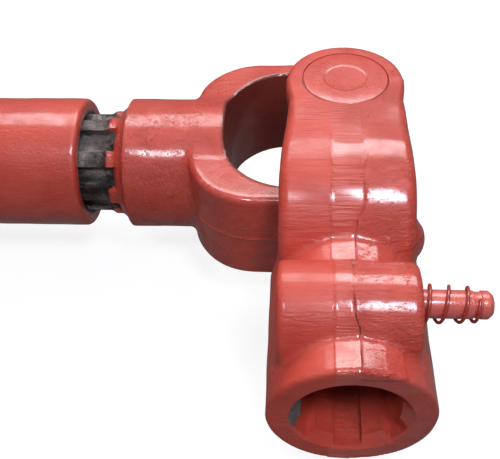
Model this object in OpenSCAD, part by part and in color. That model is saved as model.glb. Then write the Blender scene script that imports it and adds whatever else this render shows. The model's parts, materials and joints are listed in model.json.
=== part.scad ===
// Telescoping universal joint shaft with a splined, push-pin hub yoke at each end.
// Every yoke is drawn with its cross centre at the origin, its trunnions along Y and
// its hub towards -X, and is then turned and moved to its joint.
// Millimetres. +Z is up, the first hub points along -Y and the telescope along -X.

/* [Layout] */
// Distance between the two cross centres with the telescope at its rest length
joint_span = 330; // [326:1:345]
// Distance from a cross centre to the mouth of its hub
hub_length = 110.6; // [108:0.2:118]
// Outside diameter of hubs and sleeve
barrel_d = 50; // [49:0.5:52]

/* [Fork] */
// Distance from the cross centre to the outer face of an ear
ear_reach = 41; // [40.5:0.25:42]
// Distance from the cross centre to the machined inner face of an ear
ear_inner = 27; // [26.5:0.25:28]
// Radius of the round end of an ear
ear_r = 20.5; // [19.5:0.25:21]
// Half height of the window between the arms
window_half = 33; // [32:0.25:34]
// Depth of the window behind the cross centre
crotch = 45.8; // [45:0.2:47]
// Radius in the corners of the window
window_r = 20; // [17:0.5:21]
// Radius of the outer shoulder that turns from the arm into the hub of an inner yoke
shoulder_r = 25; // [22:0.5:28]
// Radius of the same shoulder on a hub yoke, whose root is longer
hub_shoulder_r = 34; // [30:0.5:35]
// Half width of the neck between an ear and its arm
neck_half = 19.6; // [19:0.1:20]
// Half width of an arm where it meets the hub
root_half = 21.7; // [21:0.1:23]
// Radius along the outer edges of an arm
edge_r = 8; // [5:0.5:8.5]

/* [Hub socket] */
// Minor diameter of the six-spline socket, across its lands
socket_minor_d = 29.8; // [29.6:0.05:30]
// Major diameter of the six-spline socket, across its grooves
socket_major_d = 35.2; // [34.9:0.05:35.5]
// Width of one groove of the socket
socket_groove_w = 8.7; // [8.4:0.1:9]
// Diameter of the lead-in at the mouth
mouth_d = 38; // [37:0.5:40]
// Length of the lead-in
mouth_depth = 3; // [2:0.5:4]

/* [Push pin] */
// Distance from the mouth of the hub to the pin axis
pin_back = 26.9; // [25:0.1:28]
// Distance from the hub axis to the pin axis
pin_offset = 20.5; // [20.4:0.1:21]
// Outside diameter of the boss across the hub
boss_d = 24; // [22:0.5:26]
// Distance from the hub axis to the spring end of the boss
boss_front = 20; // [19:0.5:22]
// Distance from the hub axis to the plugged end of the boss
boss_back = 22.3; // [22:0.1:24]
// Diameter of the pin where it locks
pin_lock_d = 10.8; // [10.4:0.1:10.9]
// Diameter of the pin stem
pin_stem_d = 8.8; // [8.4:0.1:9]
// Diameter of the pin waist
pin_waist_d = 5.4; // [5:0.1:5.6]
// Distance from the hub axis to the tip of the pin
pin_tip = 40.6; // [39:0.2:42]
// Travel of the pin when it is pushed
pin_travel = 9.2; // [8.8:0.1:9.4]
// Wire diameter of the pin spring
wire_d = 1.3; // [1:0.1:1.4]
// Turns of the pin spring
spring_turns = 3.7; // [3:0.1:4.2]

/* [Cross and bearings] */
// Outside diameter of a bearing cup
cup_d = 30.2; // [30:0.1:30.4]
// Length of a bearing cup
cup_length = 17.5; // [17:0.1:18]
// Diameter of a trunnion
trunnion_d = 18; // [17.6:0.1:18.2]
// Diameter of one needle roller
needle_d = 3; // [2.8:0.05:3]
// Needle rollers in one cup
needle_count = 21; // [18:1:21]

/* [Telescope] */
// Major diameter of the eight-spline shaft
spline_major_d = 38; // [37.5:0.25:38.5]
// Minor diameter of the eight-spline shaft
spline_minor_d = 32; // [31.5:0.25:32.5]
// Width of one spline tooth
spline_tooth_w = 6; // [5.5:0.1:6.5]
// Distance from the first cross centre to the shoulder of the shaft yoke
shoulder_x = 80; // [78:0.5:81]
// Distance from the first cross centre to the mouth of the sleeve
sleeve_mouth_x = 97.7; // [97:0.1:99]
// Distance from the first cross centre to the end of the splined shaft
shaft_end_x = 238; // [200:1:245]

/* [Hidden] */
fine = 64;
round_steps = 14;
barrel_r = barrel_d / 2;
socket_y = hub_length - mouth_depth;
joint_1 = [0, socket_y, 0];
joint_2 = [-joint_span, socket_y, 0];
arm_turn_x = 31;
hub_arm_turn_x = 33;
root_x = arm_turn_x + shoulder_r;
hub_root_x = hub_arm_turn_x + hub_shoulder_r;
neck_at = 11;
edge_chamfer = 1.2;
running_gap = 0.05;
groove_angle = 60;
tooth_angle = 45;
// bearing
cup_r = cup_d / 2;
cup_open = ear_reach - cup_length;
cup_floor = 3.6;
needle_pitch_r = trunnion_d / 2 + running_gap + needle_d / 2;
cup_bore_r = needle_pitch_r + needle_d / 2 + running_gap;
trunnion_end = ear_reach - cup_floor - 0.2;
root_r = 13;
root_end = 19.5;
recess_r = 8.2;
recess_depth = 0.5;
clip_thick = 1.9;
clip_outer_r = cup_r + 2.1;
clip_groove_r = cup_r - 1;
clip_gap_angle = 50;
seal_length = 3.6;
oil_hole_r = 1.6;
nipple_r = 3;
centre_r = 16;
centre_half = 12.5;
// push pin, measured along the pin from the hub axis
pin_x = hub_length - pin_back;
lock_front = socket_groove_w / 2 + 0.25;
lock_back = -7;
waist_front = lock_front + pin_travel + 1;
plug_thick = 2.3;
catch_at = 36.2;
catch_r = 4;
catch_front = 0.85;
catch_back = 1.4;
tip_chamfer = 1.1;
spring_start = boss_front + wire_d / 2 + 0.05;
spring_length = catch_at - spring_start;
spring_r_wide = 6.15;
spring_r_loose = 5.1;
spring_r_tight = 4.72;
spring_hold = 0.93;
spring_open = 0.36;
rings_per_turn = 18;
wire_sides = 8;
// telescope
neck_end = shoulder_x + 8;
neck_r = spline_minor_d / 2;
female_gap = 0.06;
sleeve_bore_end = joint_span - 64;

// Points along an arc
function arc(centre, r, from, to, steps = round_steps) =
    [for (i = [0:steps]) let (a = from + (to - from) * i / steps)
        [centre.x + r * cos(a), centre.y + r * sin(a)]];

// A rounded rectangle about the origin, given by its half sizes
function rounded(half_x, half_y, r) = concat(
    arc([half_x - r, half_y - r], r, 0, 90, 6),
    arc([r - half_x, half_y - r], r, 90, 180, 6),
    arc([r - half_x, r - half_y], r, 180, 270, 6),
    arc([half_x - r, r - half_y], r, 270, 360, 6));

// Cylinder along -X, from one distance behind the cross centre to another
module along_hub(from, to, r1, r2) {
    translate([-from, 0, 0]) rotate([0, -90, 0]) cylinder(h = to - from, r1 = r1, r2 = r2, $fn = fine);
}

// Cylinder along Y, from one height above the cross centre to another
module along_trunnion(from, to, r1, r2) {
    translate([0, from, 0]) rotate([-90, 0, 0]) cylinder(h = to - from, r1 = r1, r2 = r2, $fn = fine);
}

// Hub with its face at the far end chamfered
module barrel(from, to) {
    along_hub(from - 9, from, root_half - 0.4, barrel_r);
    along_hub(from, to - edge_chamfer, barrel_r, barrel_r);
    along_hub(to - edge_chamfer, to, barrel_r, barrel_r - edge_chamfer);
}

// Splined section along -X: a round core and its teeth, or a round hole and its grooves.
// The first tooth or groove stands at the start angle, where 90 is on +Y.
module splined(from, to, minor_r, major_r, width, angle, start = 0) {
    translate([-from, 0, 0]) rotate([0, -90, 0]) linear_extrude(to - from) {
        circle(minor_r, $fn = fine);
        intersection() {
            circle(major_r, $fn = fine);
            for (a = [0:angle:359]) rotate(a + start) translate([0, -width / 2]) square([major_r + 1, width]);
        }
    }
}

// Outside of the fork: side outline, plan outline and rounded section in common
module fork_outside(turn_x, turn_r) {
    turn = [-turn_x, ear_reach - turn_r];
    back = turn_x + turn_r;
    intersection() {
        translate([0, 0, -root_half - 1]) linear_extrude(2 * root_half + 2) polygon(concat(
            [[ear_r + 1, ear_reach]],
            arc(turn, turn_r, 90, 180),
            arc([turn.x, -turn.y], turn_r, 180, 270),
            [[ear_r + 1, -ear_reach]]));
        translate([0, ear_reach + 1, 0]) rotate([90, 0, 0]) linear_extrude(2 * ear_reach + 2) polygon(concat(
            arc([0, 0], ear_r, -105, 105, 28),
            [[-neck_at, neck_half], [-crotch, root_half], [-back - 1, root_half]],
            [[-back - 1, -root_half], [-crotch, -root_half], [-neck_at, -neck_half]]));
        translate([ear_r + 1, 0, 0]) rotate([0, -90, 0]) linear_extrude(ear_r + back + 3)
            polygon(rounded(root_half, ear_reach, edge_r));
    }
}

// Window between the arms, open towards +X
module fork_window() {
    corner = [window_r - crotch, window_half - window_r];
    translate([0, 0, -root_half - 3]) linear_extrude(2 * root_half + 6) polygon(concat(
        [[ear_r + 2, window_half]],
        arc(corner, window_r, 90, 180),
        arc([corner.x, -corner.y], window_r, 180, 270),
        [[ear_r + 2, -window_half]]));
}

// Fork with its ears bored for the cups; children are added to it as its hub
module fork(turn_x, turn_r) {
    difference() {
        union() {
            difference() {
                union() {
                    fork_outside(turn_x, turn_r);
                    children();
                }
                fork_window();
            }
            for (side = [0, 180]) rotate([side, 0, 0])
                along_trunnion(ear_inner, ear_reach - 5, ear_r - 0.3, ear_r - 0.3);
        }
        for (side = [0, 180]) rotate([side, 0, 0]) along_trunnion(ear_inner - 1, ear_reach + 1, cup_r, cup_r);
    }
}

// Yoke with the six-spline socket and the cross boss for the push pin
module hub_yoke() {
    color("tomato") difference() {
        fork(hub_arm_turn_x, hub_shoulder_r) {
            barrel(hub_root_x - 8, hub_length);
            translate([-pin_x, pin_offset, -boss_back])
                cylinder(h = boss_back + boss_front, d = boss_d, $fn = fine);
        }
        splined(crotch - 1, hub_length - mouth_depth, socket_minor_d / 2, socket_major_d / 2,
            socket_groove_w, groove_angle, 90);
        along_hub(hub_length - mouth_depth, hub_length, socket_minor_d / 2, mouth_d / 2);
        along_hub(hub_length, hub_length + 1, mouth_d / 2, mouth_d / 2);
        translate([-pin_x, pin_offset, 0]) {
            translate([0, 0, -boss_back - 1])
                cylinder(h = boss_back + 1 + lock_front + 0.2, r = pin_lock_d / 2 + running_gap, $fn = fine);
            cylinder(h = boss_front + 1, r = pin_stem_d / 2 + running_gap, $fn = fine);
        }
    }
}

// Yoke forged in one piece with the splined shaft
module shaft_yoke_shape() {
    tip = 2;
    color("tomato") {
        fork(arm_turn_x, shoulder_r) {
            barrel(root_x, shoulder_x + edge_chamfer);
            along_hub(shoulder_x, neck_end, barrel_r, neck_r);
            intersection() {
                splined(shoulder_x, shaft_end_x, spline_minor_d / 2, spline_major_d / 2,
                    spline_tooth_w, tooth_angle);
                union() {
                    along_hub(shoulder_x - 1, shaft_end_x - tip, barrel_r, barrel_r);
                    along_hub(shaft_end_x - tip, shaft_end_x, spline_major_d / 2 + 0.5,
                        spline_minor_d / 2 - 1);
                }
            }
        }
    }
}

// Yoke forged with the long sleeve that slides over the splined shaft
module sleeve_yoke_shape() {
    mouth = joint_span - sleeve_mouth_x;
    bore_floor = joint_span - sleeve_bore_end;
    lead_in = 1.2;
    color("tomato") difference() {
        fork(arm_turn_x, shoulder_r) barrel(root_x, mouth);
        splined(bore_floor, mouth, spline_minor_d / 2 + female_gap, spline_major_d / 2 + female_gap,
            spline_tooth_w + 2 * female_gap, tooth_angle);
        along_hub(mouth - lead_in, mouth, spline_minor_d / 2 + female_gap, spline_major_d / 2 + lead_in);
        along_hub(mouth, mouth + 1, spline_major_d / 2 + lead_in, spline_major_d / 2 + lead_in);
    }
}

// Sprung push pin along Z, with a locking land, a waist and a chamfered tip
module lock_pin() {
    lock_r = pin_lock_d / 2;
    stem_r = pin_stem_d / 2;
    waist_r = pin_waist_d / 2;
    color("indianred") translate([-pin_x, pin_offset, 0]) rotate_extrude($fn = fine) polygon([
        [0, lock_back], [lock_r - 0.8, lock_back], [lock_r, lock_back + 0.8],
        [lock_r, lock_front], [waist_r, lock_front + 0.6],
        [waist_r, waist_front], [stem_r, waist_front + 1.4],
        [stem_r, catch_at - catch_back], [catch_r, catch_at - catch_back],
        [catch_r, catch_at + catch_front], [stem_r, catch_at + catch_front],
        [stem_r, pin_tip - tip_chamfer], [stem_r - tip_chamfer, pin_tip], [0, pin_tip]
    ]);
}

// Disc that closes the back end of the pin bore
module pin_plug() {
    color("tomato") translate([-pin_x, pin_offset, -boss_back])
        cylinder(h = plug_thick, r = pin_lock_d / 2 + running_gap, $fn = fine);
}

// Centre of the spring wire at a share of its length, for a left-hand coil that tapers to the tip
// and closes into the groove of the pin at its very end
function spring_at(u) =
    let (
        r = u < spring_hold
            ? spring_r_wide + (spring_r_loose - spring_r_wide) * u / spring_hold
            : spring_r_loose + (spring_r_tight - spring_r_loose) * (u - spring_hold) / (1 - spring_hold),
        rise = spring_length * (u - spring_open * sin(360 * u) / (2 * PI)),
        a = -360 * spring_turns * u
    ) [r * cos(a), r * sin(a), rise];

// One ring of points round the wire
function wire_ring(u) =
    let (c = spring_at(u), a = -360 * spring_turns * u, out = [cos(a), sin(a), 0])
    [for (k = [0:wire_sides - 1]) let (b = 360 * k / wire_sides)
        c + wire_d / 2 * (cos(b) * out + sin(b) * [0, 0, 1])];

module pin_spring() {
    rings = ceil(spring_turns * rings_per_turn);
    n = wire_sides;
    points = [for (i = [0:rings]) for (p = wire_ring(i / rings)) p];
    sides = [for (i = [0:rings - 1]) for (k = [0:n - 1])
        [i * n + k, i * n + (k + 1) % n, (i + 1) * n + (k + 1) % n, (i + 1) * n + k]];
    first = [for (k = [n - 1:-1:0]) k];
    last = [for (k = [0:n - 1]) rings * n + k];
    color("indianred") translate([-pin_x, pin_offset, spring_start])
        polyhedron(points, concat(sides, [first], [last]));
}

// Cross with four trunnions, drilled for grease, its nipple port facing +X
module cross_shape() {
    color("dimgray") difference() {
        union() {
            rotate([0, 90, 0]) cylinder(h = 2 * centre_half, r = centre_r, center = true, $fn = fine);
            for (turn = [0:90:270]) rotate([turn, 0, 0]) {
                along_trunnion(2, root_end - 1.5, root_r, root_r);
                along_trunnion(root_end - 1.5, root_end, root_r, root_r - 1.5);
                along_trunnion(2, trunnion_end - 1, trunnion_d / 2, trunnion_d / 2);
                along_trunnion(trunnion_end - 1, trunnion_end, trunnion_d / 2, trunnion_d / 2 - 1);
            }
        }
        for (turn = [0, 90]) rotate([turn, 0, 0])
            along_trunnion(-trunnion_end - 1, trunnion_end + 1, oil_hole_r, oil_hole_r);
        rotate([0, 90, 0]) cylinder(h = root_r + 1, r = nipple_r, $fn = fine);
    }
}

// Grease nipple in the port of the cross
module nipple_shape() {
    color("goldenrod") rotate([0, 90, 0]) {
        translate([0, 0, root_r - 7]) cylinder(h = 7, r = nipple_r, $fn = fine);
        translate([0, 0, root_r]) cylinder(h = 3, r = 4.6, $fn = 6);
        translate([0, 0, root_r + 3]) cylinder(h = 3.5, r = 2.2, $fn = fine);
        translate([0, 0, root_r + 5.5]) cylinder(h = 2, r1 = 2.2, r2 = 3.2, $fn = fine);
        translate([0, 0, root_r + 7.5]) cylinder(h = 2, r1 = 3.2, r2 = 1.6, $fn = fine);
    }
}

// Bearing cup on the +Y trunnion
module cup() {
    clip_from = ear_inner - clip_thick - 0.1;
    color("salmon") difference() {
        union() {
            along_trunnion(cup_open, ear_reach - 0.5, cup_r, cup_r);
            along_trunnion(ear_reach - 0.5, ear_reach, cup_r, cup_r - 0.5);
        }
        along_trunnion(cup_open - 1, ear_reach - cup_floor, cup_bore_r, cup_bore_r);
        along_trunnion(ear_reach - recess_depth, ear_reach + 1, recess_r, recess_r);
        difference() {
            along_trunnion(clip_from, ear_inner, cup_r + 1, cup_r + 1);
            along_trunnion(clip_from - 1, ear_inner + 1, clip_groove_r, clip_groove_r);
        }
    }
}

// Full ring of needle rollers round the +Y trunnion
module needles() {
    from = cup_open + 0.7;
    to = ear_reach - cup_floor - 0.4;
    color("silver") for (k = [0:needle_count - 1]) rotate([0, 360 * k / needle_count, 0])
        translate([0, 0, needle_pitch_r]) along_trunnion(from, to, needle_d / 2, needle_d / 2);
}

// Rubber seal between the cup and the root of the +Y trunnion
module seal() {
    inner = trunnion_d / 2 + running_gap;
    color("black") difference() {
        along_trunnion(cup_open - seal_length, cup_open, root_r + 0.8, root_r + 0.8);
        along_trunnion(cup_open - seal_length - 1, cup_open + 1, inner, inner);
    }
}

// Open ring in the groove of the cup, bearing on the inner face of the ear
module clip() {
    from = ear_inner - clip_thick;
    reach = 2 * clip_outer_r;
    half_gap = reach * tan(clip_gap_angle / 2);
    color("gray") difference() {
        along_trunnion(from, ear_inner, clip_outer_r, clip_outer_r);
        along_trunnion(from - 1, ear_inner + 1, clip_groove_r, clip_groove_r);
        translate([0, ear_inner + 1, 0]) rotate([90, 0, 0]) linear_extrude(clip_thick + 2)
            polygon([[0, 0], [reach, half_gap], [reach, -half_gap]]);
    }
}

// Places: each cross, its four trunnions, and the yokes on it
module at_tractor() {
    translate(joint_1) children();
}

module at_implement() {
    translate(joint_2) mirror([1, 0, 0]) children();
}

module on_top() {
    rotate([90, 0, 0]) children();
}

module on_bottom() {
    rotate([-90, 0, 0]) children();
}

module on_front() {
    rotate([180, 0, 0]) children();
}

module on_back() {
    children();
}

module tractor_hub() {
    translate(joint_1) rotate([90, 0, 90]) children();
}

module implement_hub() {
    translate(joint_2) rotate([90, 0, 0]) children();
}

at_tractor() shaft_yoke_shape();  // shaft_yoke
translate(joint_2) rotate([0, 0, 180]) sleeve_yoke_shape();  // sleeve_yoke

tractor_hub() hub_yoke();  // tractor_hub_yoke
tractor_hub() lock_pin();  // tractor_lock_pin
tractor_hub() pin_spring();  // tractor_pin_spring
tractor_hub() pin_plug();  // tractor_pin_plug
at_tractor() cross_shape();  // tractor_cross
at_tractor() nipple_shape();  // tractor_grease_nipple
at_tractor() on_top() cup();  // tractor_cup_top
at_tractor() on_bottom() cup();  // tractor_cup_bottom
at_tractor() on_front() cup();  // tractor_cup_front
at_tractor() on_back() cup();  // tractor_cup_back
at_tractor() on_top() needles();  // tractor_needles_top
at_tractor() on_bottom() needles();  // tractor_needles_bottom
at_tractor() on_front() needles();  // tractor_needles_front
at_tractor() on_back() needles();  // tractor_needles_back
at_tractor() on_top() seal();  // tractor_seal_top
at_tractor() on_bottom() seal();  // tractor_seal_bottom
at_tractor() on_front() seal();  // tractor_seal_front
at_tractor() on_back() seal();  // tractor_seal_back
at_tractor() on_top() clip();  // tractor_clip_top
at_tractor() on_bottom() clip();  // tractor_clip_bottom
at_tractor() on_front() clip();  // tractor_clip_front
at_tractor() on_back() clip();  // tractor_clip_back

implement_hub() hub_yoke();  // implement_hub_yoke
implement_hub() lock_pin();  // implement_lock_pin
implement_hub() pin_spring();  // implement_pin_spring
implement_hub() pin_plug();  // implement_pin_plug
at_implement() cross_shape();  // implement_cross
at_implement() nipple_shape();  // implement_grease_nipple
at_implement() on_top() cup();  // implement_cup_top
at_implement() on_bottom() cup();  // implement_cup_bottom
at_implement() on_front() cup();  // implement_cup_front
at_implement() on_back() cup();  // implement_cup_back
at_implement() on_top() needles();  // implement_needles_top
at_implement() on_bottom() needles();  // implement_needles_bottom
at_implement() on_front() needles();  // implement_needles_front
at_implement() on_back() needles();  // implement_needles_back
at_implement() on_top() seal();  // implement_seal_top
at_implement() on_bottom() seal();  // implement_seal_bottom
at_implement() on_front() seal();  // implement_seal_front
at_implement() on_back() seal();  // implement_seal_back
at_implement() on_top() clip();  // implement_clip_top
at_implement() on_bottom() clip();  // implement_clip_bottom
at_implement() on_front() clip();  // implement_clip_front
at_implement() on_back() clip();  // implement_clip_back
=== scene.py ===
"""Looks of the universal joint shaft: painted forgings, bearings, push pins, light and camera.

Shapes are worked out in millimetres in the yoke frame: cross centre at the origin, trunnions
along Y, hub towards -X. Forgings are distance fields turned into meshes by dual contouring.
"""

import json
import math

import bpy
import numpy as np
from mathutils import Matrix, Vector

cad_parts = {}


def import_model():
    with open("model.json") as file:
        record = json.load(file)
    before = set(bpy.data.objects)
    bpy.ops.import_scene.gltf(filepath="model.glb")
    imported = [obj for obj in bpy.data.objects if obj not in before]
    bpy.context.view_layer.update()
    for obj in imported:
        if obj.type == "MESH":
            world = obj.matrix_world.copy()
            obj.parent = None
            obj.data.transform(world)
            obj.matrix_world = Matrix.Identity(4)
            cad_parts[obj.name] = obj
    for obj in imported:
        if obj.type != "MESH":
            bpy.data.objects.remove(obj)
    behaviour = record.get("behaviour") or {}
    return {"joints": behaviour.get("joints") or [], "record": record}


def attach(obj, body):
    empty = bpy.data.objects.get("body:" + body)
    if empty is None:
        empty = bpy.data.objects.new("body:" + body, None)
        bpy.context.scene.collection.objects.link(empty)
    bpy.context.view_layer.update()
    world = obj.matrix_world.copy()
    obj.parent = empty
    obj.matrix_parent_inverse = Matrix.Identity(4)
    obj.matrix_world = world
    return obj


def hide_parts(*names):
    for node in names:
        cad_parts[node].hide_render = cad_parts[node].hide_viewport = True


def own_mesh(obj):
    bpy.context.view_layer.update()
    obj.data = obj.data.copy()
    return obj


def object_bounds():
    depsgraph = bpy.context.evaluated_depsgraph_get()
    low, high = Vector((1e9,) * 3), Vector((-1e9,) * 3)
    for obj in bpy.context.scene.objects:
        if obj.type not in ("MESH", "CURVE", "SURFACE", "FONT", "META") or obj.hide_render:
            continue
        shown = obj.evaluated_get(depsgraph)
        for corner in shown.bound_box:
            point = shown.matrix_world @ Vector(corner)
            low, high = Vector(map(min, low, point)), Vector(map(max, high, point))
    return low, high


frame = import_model()
cad_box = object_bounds()

MM = 0.001
RECORD = frame["record"]
BODY_OF = {node: body for body, nodes in RECORD["behaviour"]["bodies"].items() for node in nodes}
JOINT = {joint["name"]: joint for joint in frame["joints"]}

# ---------------------------------------------------------------- sizes, in millimetres
EAR_REACH = 41.0
EAR_INNER = 27.0
EAR_R = 20.5
WINDOW_HALF = 33.0
CROTCH = 45.8
ARM_CROTCH = 43.4
ARM_WINDOW_R = 25.0
WINDOW_R = 20.0
NECK_AT, NECK_HALF = 11.0, 19.6
BARREL_R = 25.0
HUB_LENGTH = 110.6
HUB_TURN_X, HUB_TURN_R, HUB_HALF = 33.0, 34.0, 21.7
ARM_TURN_X, ARM_TURN_R, ARM_HALF = 31.0, 25.0, 19.2
OPEN_END = 60.0
# where the two dies met: across Z, and how far the ridge there stands out
PARTING_Z, RIDGE, WINDOW_RIDGE = 0.8, 0.32, 0.2
# lip that was peened against the upper cap
LIP, LIP_R = 0.5, 16.1

SOCKET_MINOR_R, SOCKET_MAJOR_R, SOCKET_GROOVE = 14.9, 17.6, 8.7
SOCKET_END = 40.0
MOUTH_R, MOUTH_DEPTH = 18.5, 3.0

PIN_X, PIN_Y = 83.7, 20.5
BOSS_R, BOSS_FRONT, BOSS_BACK = 12.0, 18.9, 22.3
PIN_LOCK_R, PIN_STEM_R, PIN_WAIST_R, PIN_TIP = 5.4, 4.25, 2.7, 40.6
PIN_TRAVEL = 9.2
PIN_PLAY, PIN_HOLE_BACK = 0.08, -30.0
LOCK_FRONT, LOCK_BACK = 4.6, -7.0
CATCH_AT, CATCH_R = 36.2, 3.9
WIRE_R = 0.52
SPRING_TURNS = 3.7

CUP_R, CUP_OPEN, CUP_FLOOR, CUP_BORE_R = 15.1, 23.5, 3.6, 12.1
TRUNNION_R, TRUNNION_END = 9.0, 37.2
NEEDLE_R, NEEDLE_COUNT = 1.5, 21
ROOT_R, ROOT_END = 13.0, 19.5
CENTRE_R, CENTRE_HALF = 16.0, 12.5
CLIP_THICK = 1.9
SEAL_LENGTH = 3.6

SPLINE_MAJOR_R, SPLINE_MINOR_R, SPLINE_TOOTH, SPLINE_PLAY = 19.0, 16.0, 6.0, 0.06
SHOULDER_X = 80.0
SHAFT_END = 238.0
SLEEVE_MOUTH = 232.3
SLEEVE_FLOOR = 64.0

# The strip that was ground where the forging flash ran over the hub yoke: its edges across Z,
# the far one as it steps along the arm, the valley, the boss and the barrel
STRIP_FROM, STRIP_TO_HUB, FACET_TO = -5.8, 1.0, 8.6
STRIP_RISE, STRIP_RISE_ON_BOSS = 0.18, 0.2
# swelling of the forging between the arm and the boss: its centre and half its size
SWELLING_AT, SWELLING_R = (-55.0, 17.0, 19.6), (6.0, 8.0, 5.0)
STRIP_PLACES = (54.0, 61.0, 71.0, 77.0, 93.0, 99.0)
STRIP_EDGE = (4.4, 1.6, 1.6, -0.6, -0.6, 1.0)


# ---------------------------------------------------------------- distance fields
def rect(u, v, half_u, half_v, r):
    """Rounded rectangle about the origin."""
    qu, qv = np.abs(u) - half_u + r, np.abs(v) - half_v + r
    return np.hypot(np.maximum(qu, 0), np.maximum(qv, 0)) + np.minimum(np.maximum(qu, qv), 0) - r


def slab(u, low, high):
    """Everything between two parallel planes."""
    return np.maximum(low - u, u - high)


def join(a, b, r):
    """Union with a fillet."""
    r = np.maximum(r, 1e-6)
    return np.maximum(r, np.minimum(a, b)) - np.hypot(np.maximum(r - a, 0), np.maximum(r - b, 0))


def meet(a, b, r):
    """Intersection with a rounded edge."""
    return np.minimum(-r, np.maximum(a, b)) + np.hypot(np.maximum(r + a, 0), np.maximum(r + b, 0))


def ease(value, low, high):
    """Smooth step from 0 at low to 1 at high."""
    t = np.clip((value - low) / (high - low), 0, 1)
    return t * t * (3 - 2 * t)


def hill(value, centre, width):
    """Smooth bump, 1 at its centre."""
    return np.exp(-(((value - centre) / width) ** 2))


def slots(y, z, width, count):
    """Slots across the axis, each as two opposite grooves."""
    found = None
    for k in range(count // 2):
        a = 2 * math.pi * k / count
        across = np.abs(z * math.cos(a) - y * math.sin(a)) - width / 2
        found = across if found is None else np.minimum(found, across)
    return found


def lumps(x, y, z, amount, seed):
    """Gentle unevenness of a forging: a few slow waves in seeded directions."""
    random = np.random.default_rng(seed)
    total = 0.0
    for _ in range(7):
        wave = random.normal(size=3)
        wave *= 2 * math.pi / random.uniform(11, 34) / np.linalg.norm(wave)
        total = total + np.sin(wave[0] * x + wave[1] * y + wave[2] * z + random.uniform(0, 6.3))
    return amount * total / 7


def fork_outside(x, y, z, turn_x, turn_r, half, edge, lean=0.0):
    """Solid outline of a fork, before its window is cut: round ears, and arms that turn in to the
    hub. half is half the width of an arm, lean moves the arms along Z, edge rounds them."""
    back = turn_x + turn_r
    side = rect(x - (OPEN_END - back) / 2, y, (OPEN_END + back) / 2, EAR_REACH, turn_r)
    crown = 0.0014 * z * z * ease(-x, 12, 26)
    width = np.interp(-x, [NECK_AT, CROTCH], [min(NECK_HALF, half + 0.4), half])
    arm = np.maximum(np.abs(z + lean * ease(-x, 12, 40)) - width, x)
    plan = join(np.hypot(x, z) - EAR_R, arm, 2.0)
    return meet(side + crown, plan, np.interp(-x, [-8, 24], [2.2, edge]))


def fork_window(x, y, crotch):
    """The opening between the arms."""
    corner = WINDOW_R if crotch == CROTCH else ARM_WINDOW_R
    return rect(x - (OPEN_END - crotch) / 2, y, (OPEN_END + crotch) / 2, WINDOW_HALF, corner)


def fork(x, y, z, outside, rim, crotch):
    """Cuts the window out of what is outside it, and adds the bored ears."""
    window = fork_window(x, y, crotch)
    solid = meet(outside, -window, rim)
    by_wall = ease(1.2 - np.abs(window), 0, 1)
    solid = solid - WINDOW_RIDGE * hill(z, PARTING_Z, 0.75) * ease(-x, 16, 24) * by_wall
    pad = np.maximum(np.hypot(x, z) - EAR_R + 0.3, slab(np.abs(y), EAR_INNER, EAR_REACH - 5))
    solid = join(solid, pad, 1.2)
    bore = np.maximum(np.hypot(x, z) - CUP_R, 20 - np.abs(y))
    # the ears of the middle yokes keep their ridge, which was ground off the hub's
    ridge = RIDGE * hill(z, PARTING_Z, 0.6) * ease(-x, 16, 22) * (crotch == ARM_CROTCH)
    return np.maximum(np.maximum(solid, -bore), np.abs(y) - EAR_REACH - ridge)


def hub_barrel(x, y, z):
    """Round hub with two facets above and two below, the first under the ground strip."""
    barrel = np.hypot(y, z) - np.interp(-x, [50, 60], [HUB_HALF - 0.6, BARREL_R])
    for start, end in ((STRIP_FROM, STRIP_TO_HUB), (STRIP_TO_HUB, FACET_TO)):
        tilt = math.asin((start + end) / 2 / BARREL_R)
        half = (end - start) / 2
        flat = np.abs(y) * math.cos(tilt) + z * math.sin(tilt) - math.sqrt(BARREL_R**2 - half**2)
        barrel = np.maximum(barrel, flat)
    return meet(barrel, slab(-x, 52, HUB_LENGTH), 1.3)


def pin_boss(x, y, z):
    """Boss across the side of the hub that the push pin runs through."""
    boss = np.hypot(x + PIN_X, y - PIN_Y) - BOSS_R
    boss = join(boss, np.hypot(x + PIN_X + 4.2, y - PIN_Y + 4.5) - BOSS_R - 1.8, 6)
    return meet(boss, slab(z, -BOSS_BACK, BOSS_FRONT), 2.4)


def ground_strip(x, z):
    """1 on the strip where the flash was ground and 0 beside it."""
    far_edge = np.interp(-x, STRIP_PLACES, STRIP_EDGE)
    return ease(z, STRIP_FROM - 0.4, STRIP_FROM + 0.4) * ease(far_edge - z, -0.4, 0.4)


def peened_lip(x, z):
    """Metal pushed up round the cap, in an arc on each side of the strip."""
    turn = np.arctan2(z, -x)
    right_arc = ease(turn, 0.1, 0.5) * ease(-turn, -1.6, -1.2)
    left_arc = ease(-turn, 0.5, 0.8) * ease(turn, -1.4, -1.0)
    return LIP * hill(np.hypot(x, z), LIP_R, 0.6) * (right_arc + 0.6 * left_arc)


def splined_socket(x, y, z):
    """Six-groove bore, open to the window, with a chamfered mouth."""
    radius = np.hypot(y, z)
    grooves = np.maximum(radius - SOCKET_MAJOR_R, slots(y, z, SOCKET_GROOVE, 6))
    bore = join(radius - SOCKET_MINOR_R, grooves, 0.5)
    cone = radius - MOUTH_R - (x + HUB_LENGTH) * (SOCKET_MINOR_R - MOUTH_R) / MOUTH_DEPTH
    mouth = np.maximum(cone * 0.6, x + HUB_LENGTH - 2 * MOUTH_DEPTH)
    return np.minimum(np.maximum(bore, SOCKET_END + x), mouth)


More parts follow.
